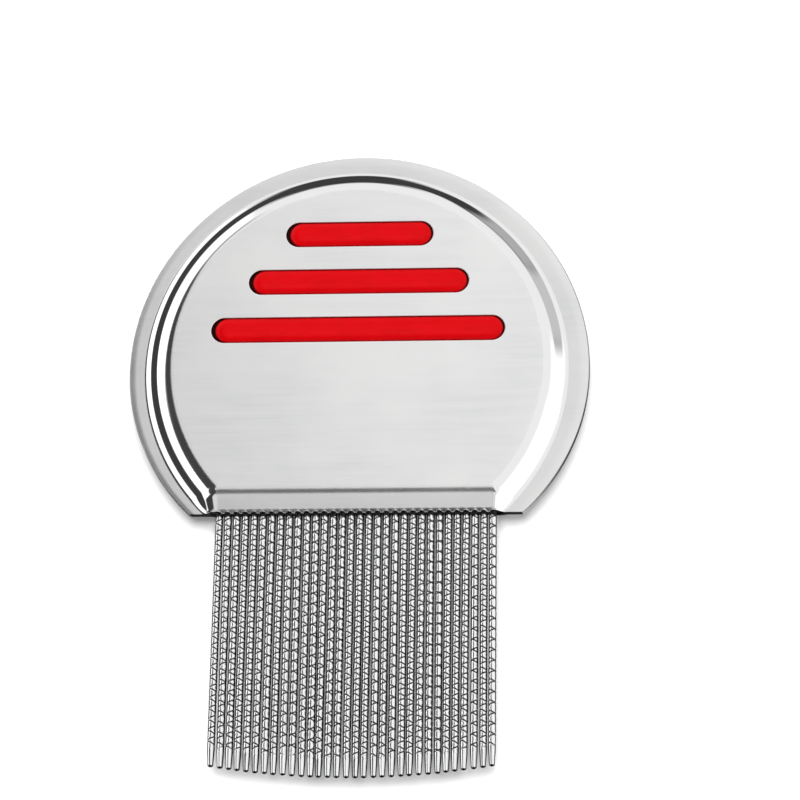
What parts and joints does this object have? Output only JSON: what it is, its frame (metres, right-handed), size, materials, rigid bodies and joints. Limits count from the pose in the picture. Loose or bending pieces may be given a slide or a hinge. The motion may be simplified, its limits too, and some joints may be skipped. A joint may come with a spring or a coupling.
{
  "type": "flea comb",
  "caption": "Palm-held metal comb: round pressed steel handle with moulded grip ribs and a row of long fine pin teeth.",
  "frame": {"origin": "middle of the whole comb in X and Y, at the height of the surface that it lies on", "axes": "+Z is the outward normal of the front shell, +Y points from the teeth to the top of the handle, X runs across the handle"},
  "size_m": [0.0698, 0.0984, 0.0082],
  "materials": {
    "shell_steel": "fine straight brushing across the handle, raised wall polished bright",
    "grip_plastic": "smooth moulded plastic, satin gloss",
    "pin_steel": "bright drawn steel wire with fine crossed spiral grooves"
  },
  "bodies": {
    "root": {"front_shell": "shell_steel", "rear_shell": "shell_steel", "grip_core": "grip_plastic", "tooth_01": "pin_steel", "tooth_02": "pin_steel", "tooth_03": "pin_steel", "tooth_04": "pin_steel", "tooth_05": "pin_steel", "tooth_06": "pin_steel", "tooth_07": "pin_steel", "tooth_08": "pin_steel", "tooth_09": "pin_steel", "tooth_10": "pin_steel", "tooth_11": "pin_steel", "tooth_12": "pin_steel", "tooth_13": "pin_steel", "tooth_14": "pin_steel", "tooth_15": "pin_steel", "tooth_16": "pin_steel", "tooth_17": "pin_steel", "tooth_18": "pin_steel", "tooth_19": "pin_steel", "tooth_20": "pin_steel", "tooth_21": "pin_steel", "tooth_22": "pin_steel", "tooth_23": "pin_steel", "tooth_24": "pin_steel", "tooth_25": "pin_steel", "tooth_26": "pin_steel", "tooth_27": "pin_steel", "tooth_28": "pin_steel", "tooth_29": "pin_steel", "tooth_30": "pin_steel", "tooth_31": "pin_steel", "tooth_32": "pin_steel"}
  },
  "joints": []
}
